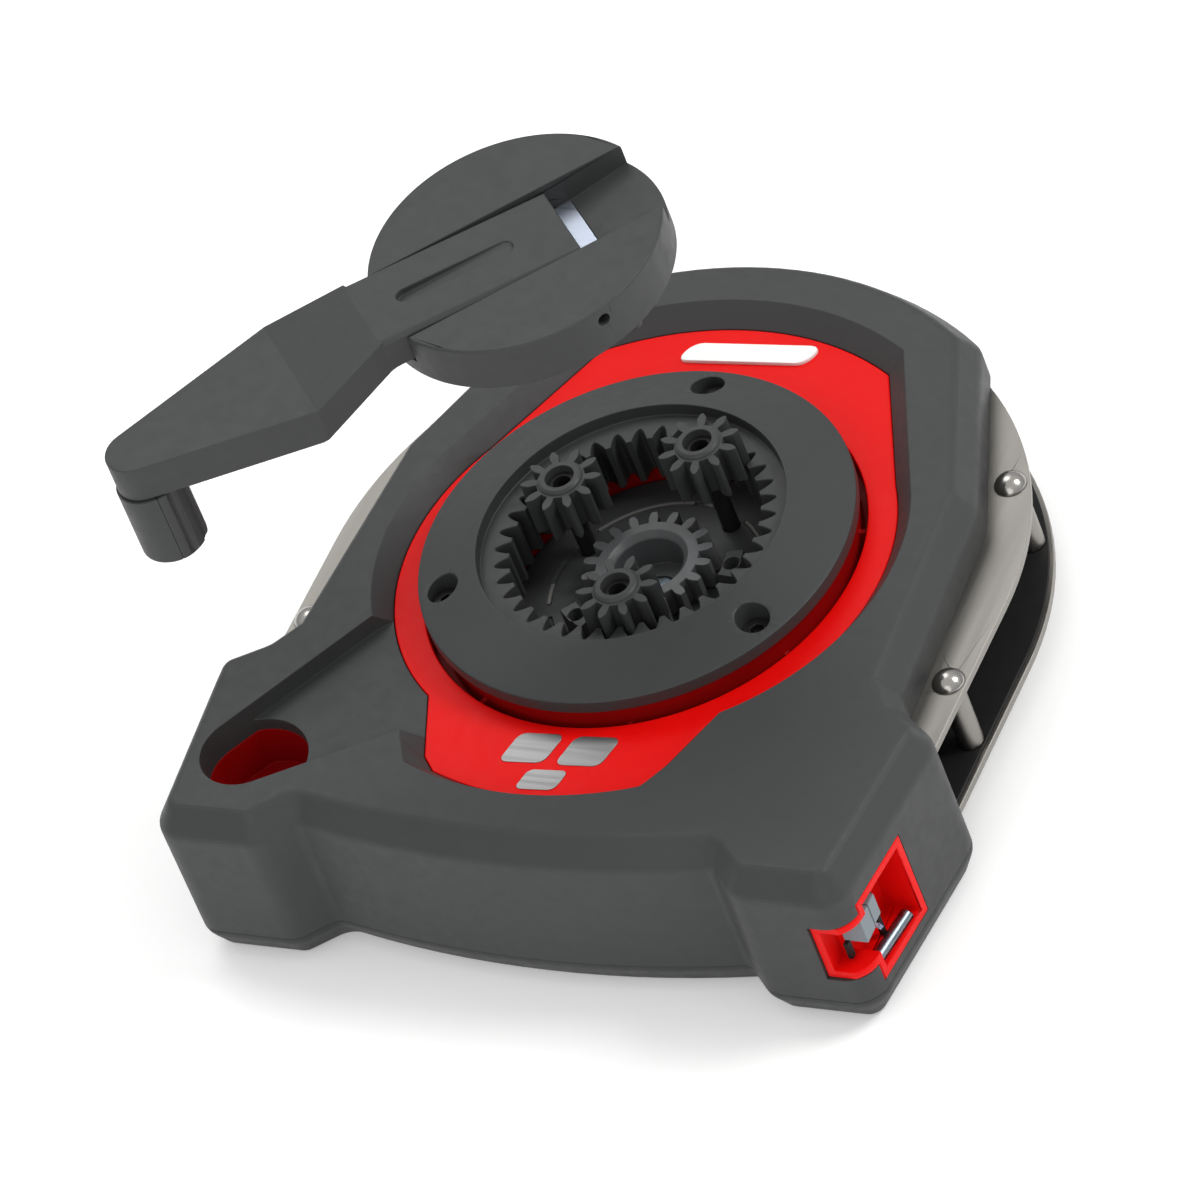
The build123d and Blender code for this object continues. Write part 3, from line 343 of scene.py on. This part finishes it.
# ---- mesh helpers -------------------------------------------------------
def mesh_object(name, verts, faces, smooth=True):
    mesh = bpy.data.meshes.new(name)
    mesh.from_pydata([tuple(v) for v in verts], [], faces)
    mesh.validate()
    mesh.update()
    for polygon in mesh.polygons:
        polygon.use_smooth = smooth
    obj = bpy.data.objects.new(name, mesh)
    bpy.context.scene.collection.objects.link(obj)
    return obj


def add_piece(obj, body, material):
    paint(obj, material)
    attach(obj, body)


def tube_faces(rows, across, start=0):
    """Side faces of a tube of rows + 1 rings, with across points in each ring."""
    faces = []
    for n in range(rows):
        for k in range(across):
            a, b = start + n * across + k, start + n * across + (k + 1) % across
            faces.append((a, b, b + across, a + across))
    return faces


CORNER_STEPS = 4
BAR_CROWN = 0.3         # how far in and down the bevel's middle lies, as a share of its width


def raised_bar(name, outline, low, high, edge):
    """Flat bar from a closed outline, with a bevelled upper edge."""
    count = len(outline)
    centre = sum((Vector(p) for p in outline), Vector((0, 0))) / count
    middle = edge * BAR_CROWN
    rings = [(low, 0.0), (high - edge, 0.0), (high - middle, middle), (high, edge)]
    verts = []
    for z, inset in rings:
        for point in outline:
            away = Vector(point) - centre
            near = Vector(point) - away.normalized() * inset
            verts.append((near.x, near.y, z))
    rows = len(rings) - 1
    bottom = tuple(reversed(range(count)))
    top = tuple(range(rows * count, (rows + 1) * count))
    faces = [bottom] + tube_faces(rows, count) + [top]
    return mesh_object(name, verts, faces, smooth=False)


def slanted_bar(centre, length, height, slant, turn, corner):
    """Outline of a bar with rounded corners, leaning by slant and turned by turn degrees."""
    across, up = length / 2 - corner, height / 2 - corner
    corners = ((across, -up, -90), (across, up, 0), (-across, up, 90), (-across, -up, 180))
    points = []
    for x0, y0, start in corners:
        for n in range(CORNER_STEPS + 1):
            angle = math.radians(start + 90 / CORNER_STEPS * n)
            x, y = x0 + corner * math.cos(angle), y0 + corner * math.sin(angle)
            points.append((x + slant * y, y))
    c, s = math.cos(math.radians(turn)), math.sin(math.radians(turn))
    return [(centre[0] + c * x - s * y, centre[1] + s * x + c * y) for x, y in points]


# ---- plain marks on the face plate --------------------------------------
FACE_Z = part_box("face_plate")[1].z
MARK_TURN = 4.0         # degrees
MARK_SUNK = 0.2         # mm under the plate's face
MARK_EDGE = 0.4         # bevel, as a share of the height over the plate
# name, centre x, y, length, height, slant, corner radius, stands proud by, material, slot
MARKS = [
    ("face_badge", 0.4, 49.4, 25.0, 4.4, 0.5, 1.9, 0.7, "white", "polished_steel"),
    ("length_mark_left", -2.9, -46.1, 8.6, 6.8, 0.3, 1.5, 0.15, "silver", "frame_metal"),
    ("length_mark_right", 7.9, -45.6, 8.6, 6.8, 0.3, 1.5, 0.15, "silver", "frame_metal"),
    ("length_mark_low", 1.9, -53.0, 7.6, 4.6, 0.3, 1.2, 0.15, "silver", "frame_metal"),
]


def add_marks():
    """Plain bars where the face plate carries its markings."""
    for name, x, y, length, height, slant, corner, proud, material, slot in MARKS:
        outline = slanted_bar((x * MM, y * MM), length * MM, height * MM, slant, MARK_TURN,
                              corner * MM)
        bar = raised_bar(name, outline, FACE_Z - MARK_SUNK * MM, FACE_Z + proud * MM,
                         proud * MARK_EDGE * MM)
        add_piece(bar, "case", material)


# ---- scribed circle on the carrier --------------------------------------
CARRIER_Z = 25.2 * MM
LINE_LOW, LINE_HIGH = CARRIER_Z - 0.45 * MM, CARRIER_Z + 0.04 * MM
LINE_INNER, LINE_OUTER = 19.5 * MM, 20.1 * MM
LINE_STEP = 2           # degrees
# start and end in degrees of each arc, all within the groove of the carrier plate
LINE_ARCS = [(92, 145), (67, 86), (186, 200), (267, 280), (300, 325), (335, 417)]


def arc_band(name, start, end):
    """Thin curved strip between two angles."""
    steps = int((end - start) / LINE_STEP)
    section = ((LINE_INNER, LINE_LOW), (LINE_OUTER, LINE_LOW),
               (LINE_OUTER, LINE_HIGH), (LINE_INNER, LINE_HIGH))
    verts = []
    for n in range(steps + 1):
        angle = math.radians(start + (end - start) * n / steps)
        c, s = math.cos(angle), math.sin(angle)
        for radius, z in section:
            verts.append((radius * c, radius * s, z))
    faces = [(0, 1, 2, 3), tuple(4 * steps + k for k in (3, 2, 1, 0))]
    for n in range(steps):
        for k in range(4):
            a, b = 4 * n + k, 4 * n + (k + 1) % 4
            faces.append((a, a + 4, b + 4, b))
    return mesh_object(name, verts, faces, smooth=False)


def add_scribed_circle():
    for number, (start, end) in enumerate(LINE_ARCS, 1):
        band = arc_band(f"carrier_line_{number}", start, end)
        add_piece(band, "carrier", "line_inlay")


# ---- chalk line ---------------------------------------------------------
CORD_R = 0.5 * MM
TURN_PITCH = 2 * CORD_R * 1.05      # a twentieth more than the cord's own width
TURN_STEPS, TURN_ACROSS = 150, 7
CORE_R = 14.05 * MM                 # inside of the pack, on the spool's barrel
CORE_LAYERS, CORE_AROUND = 26, 96
CORE_DEPTH = 1.1 * CORD_R            # under the outside of the outer turns
CORE_RIPPLE = 0.12 * MM
TWIST = 4.2 * MM                    # length of one full twist of the strands
TWIST_STEPS = 16                    # rings in that length
STRANDS, STRAND_ACROSS, STRAND_SHARE = 3, 8, 0.54


def wound_cord():
    """Outer layer of the line as one helix of turns over the pack on the spool."""
    low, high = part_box("wound_line")
    radius = high.x
    turns = int((high.z - low.z - 2 * CORD_R) / TURN_PITCH)
    rows = turns * TURN_STEPS
    start_z = low.z + CORD_R
    verts = []
    for n in range(rows + 1):
        angle = 2 * math.pi * n / TURN_STEPS
        z = start_z + TURN_PITCH * n / TURN_STEPS
        for k in range(TURN_ACROSS):
            phase = 2 * math.pi * k / TURN_ACROSS
            r = radius - CORD_R + CORD_R * math.cos(phase)
            verts.append((r * math.cos(angle), r * math.sin(angle), z + CORD_R * math.sin(phase)))
    faces = tube_faces(rows, TURN_ACROSS)
    faces.append(tuple(range(TURN_ACROSS)))
    faces.append(tuple(reversed(range(rows * TURN_ACROSS, (rows + 1) * TURN_ACROSS))))
    return mesh_object("wound_cord", verts, faces)


def cord_core():
    """Body of the line pack under its outer turns."""
    low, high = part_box("wound_line")
    outer = high.x - CORE_DEPTH
    profile = [(CORE_R, low.z), (CORE_R, high.z)]
    for n in range(CORE_LAYERS + 1):
        z = high.z + (low.z - high.z) * n / CORE_LAYERS
        profile.append((outer - CORE_RIPPLE * (n % 2), z))
    count = len(profile)
    verts = []
    for n in range(CORE_AROUND):
        angle = 2 * math.pi * n / CORE_AROUND
        verts += [(r * math.cos(angle), r * math.sin(angle), z) for r, z in profile]
    faces = []
    for n in range(CORE_AROUND):
        near, far = n * count, ((n + 1) % CORE_AROUND) * count
        for k in range(count):
            following = (k + 1) % count
            faces.append((near + k, near + following, far + following, far + k))
    return mesh_object("cord_pack", verts, faces)


def twisted_cord(name, start, end, radius):
    """Strands laid round each other from start to end."""
    axis = (end - start).normalized()
    side = axis.orthogonal().normalized()
    up = axis.cross(side)
    length = (end - start).length
    steps = int(length / TWIST * TWIST_STEPS)
    strand_r = radius * STRAND_SHARE
    verts, faces = [], []
    for strand in range(STRANDS):
        base = len(verts)
        for n in range(steps + 1):
            along = length * n / steps
            angle = 2 * math.pi * (along / TWIST + strand / STRANDS)
            out = side * math.cos(angle) + up * math.sin(angle)
            centre = start + axis * along + out * (radius - strand_r)
            across = axis.cross(out)
            for k in range(STRAND_ACROSS):
                phase = 2 * math.pi * k / STRAND_ACROSS
                spoke = out * math.cos(phase) + across * math.sin(phase)
                verts.append(centre + spoke * strand_r)
        last = base + steps * STRAND_ACROSS
        faces += tube_faces(steps, STRAND_ACROSS, base)
        faces.append(tuple(reversed(range(base, base + STRAND_ACROSS))))
        faces.append(tuple(range(last, last + STRAND_ACROSS)))
    return mesh_object(name, verts, faces)


def build_line():
    """Cord in place of the two plain CAD solids of the line."""
    outer = wound_cord()
    add_piece(outer, "spool", "cord")
    add_piece(cord_core(), "spool", "cord")
    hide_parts("wound_line")
    low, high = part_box("line_run")
    middle = (low.z + high.z) / 2
    ends = [v.co for v in NODES["line_run"].data.vertices]
    start = min(ends, key=lambda p: p.x)
    end = max(ends, key=lambda p: p.x)
    run = twisted_cord("line_run_cord", Vector((start.x, start.y, middle)),
                       Vector((end.x, end.y, middle)), CORD_R)
    add_piece(run, "case", "cord")
    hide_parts("line_run")


# ---- floor, light and camera --------------------------------------------
FLOOR_SIZE, FLOOR_STEPS = 6.0, 24   # metres, squares along each side
FLOOR_GAP = 0.2 * MM                # under the case's back face
HORIZON_COLOUR = (0.52, 0.53, 0.55, 1)
OVERHEAD_COLOUR = (1.0, 1.0, 1.0, 1)
OVERHEAD_FROM = 0.75
WORLD_STRENGTH = 0.85
LIGHT_AIM = (0, 0, 0.03)
# name, place, size in metres, power in watts
LIGHTS = [
    ("key", (-0.6, 0.6, 1.4), 0.9, 5.0),
    ("fill", (0.3, -1.3, 0.8), 1.2, 3.6),
    ("rim", (1.0, 0.5, 1.2), 0.6, 11.0),
]
CAMERA_TARGET = (-4.6, -10.6, 32.0)     # mm
CAMERA_AZIMUTH, CAMERA_ELEVATION, CAMERA_ROLL = 38.61, 42.26, -22.78    # degrees
CAMERA_DISTANCE, CAMERA_REACH = 2.0, 50                     # metres
CAMERA_LENS, CAMERA_SENSOR = 343.1, 36                      # mm


def build_floor():
    """Plain pale floor with a faint unevenness, under the case's back face."""
    z = cad_box[0].z - FLOOR_GAP
    verts = []
    for row in range(FLOOR_STEPS + 1):
        for column in range(FLOOR_STEPS + 1):
            x = FLOOR_SIZE * (column / FLOOR_STEPS - 0.5)
            y = FLOOR_SIZE * (row / FLOOR_STEPS - 0.5)
            verts.append((x, y, z))
    faces = []
    for row in range(FLOOR_STEPS):
        for column in range(FLOOR_STEPS):
            a = row * (FLOOR_STEPS + 1) + column
            faces.append((a, a + 1, a + FLOOR_STEPS + 2, a + FLOOR_STEPS + 1))
    floor = mesh_object("floor", verts, faces)
    shader = Shader("pale_floor")
    white = srgb(244, 244, 243)
    shader.colour(shader.mix(shader.noise(3.0), lighter(white, 0.985), white))
    shader.roughness(shader.span(shader.noise(20.0), 0.8, 0.95))
    shader.fixed(Specular_IOR_Level=0.15, Emission_Color=(1, 1, 1, 1), Emission_Strength=0.2)
    floor.data.materials.append(shader.material)


def build_world():
    """Studio surround: bright overhead, softer towards the horizon."""
    world = bpy.data.worlds.new("studio")
    bpy.context.scene.world = world
    world.use_nodes = True
    tree = world.node_tree
    background = tree.nodes["Background"]
    coordinate = tree.nodes.new("ShaderNodeTexCoord")
    split = tree.nodes.new("ShaderNodeSeparateXYZ")
    ramp = tree.nodes.new("ShaderNodeValToRGB")
    ramp.color_ramp.elements[0].color = HORIZON_COLOUR
    ramp.color_ramp.elements[1].color = OVERHEAD_COLOUR
    ramp.color_ramp.elements[1].position = OVERHEAD_FROM
    tree.links.new(coordinate.outputs["Generated"], split.inputs[0])
    tree.links.new(split.outputs["Z"], ramp.inputs["Fac"])
    tree.links.new(ramp.outputs["Color"], background.inputs["Color"])
    background.inputs["Strength"].default_value = WORLD_STRENGTH


def area_light(name, place, size, power):
    data = bpy.data.lights.new(name, "AREA")
    data.shape = "DISK"
    data.size = size
    data.energy = power
    light = bpy.data.objects.new(name, data)
    light.location = place
    towards = Vector(LIGHT_AIM) - Vector(place)
    light.rotation_euler = towards.to_track_quat("-Z", "Y").to_euler()
    bpy.context.scene.collection.objects.link(light)


def build_camera():
    """Long lens from the front right, above, with the object turned in the frame."""
    target = Vector(CAMERA_TARGET) * MM
    a, e = math.radians(CAMERA_AZIMUTH), math.radians(CAMERA_ELEVATION)
    back = Vector((math.sin(a) * math.cos(e), -math.cos(a) * math.cos(e), math.sin(e)))
    level = Vector((math.cos(a), math.sin(a), 0))
    upright = back.cross(level)
    r = math.radians(CAMERA_ROLL)
    right = level * math.cos(r) + upright * math.sin(r)
    up = back.cross(right)
    data = bpy.data.cameras.new("camera")
    data.lens = CAMERA_LENS
    data.sensor_width = CAMERA_SENSOR
    data.clip_end = CAMERA_REACH
    camera = bpy.data.objects.new("camera", data)
    place = Matrix.Translation(target + back * CAMERA_DISTANCE)
    camera.matrix_world = place @ Matrix((right, up, back)).transposed().to_4x4()
    bpy.context.scene.collection.objects.link(camera)
    bpy.context.scene.camera = camera


add_marks()
add_scribed_circle()
build_line()
build_floor()
build_world()
for light in LIGHTS:
    area_light(*light)
build_camera()
bpy.context.scene.view_settings.view_transform = "Standard"

bpy.context.view_layer.update()
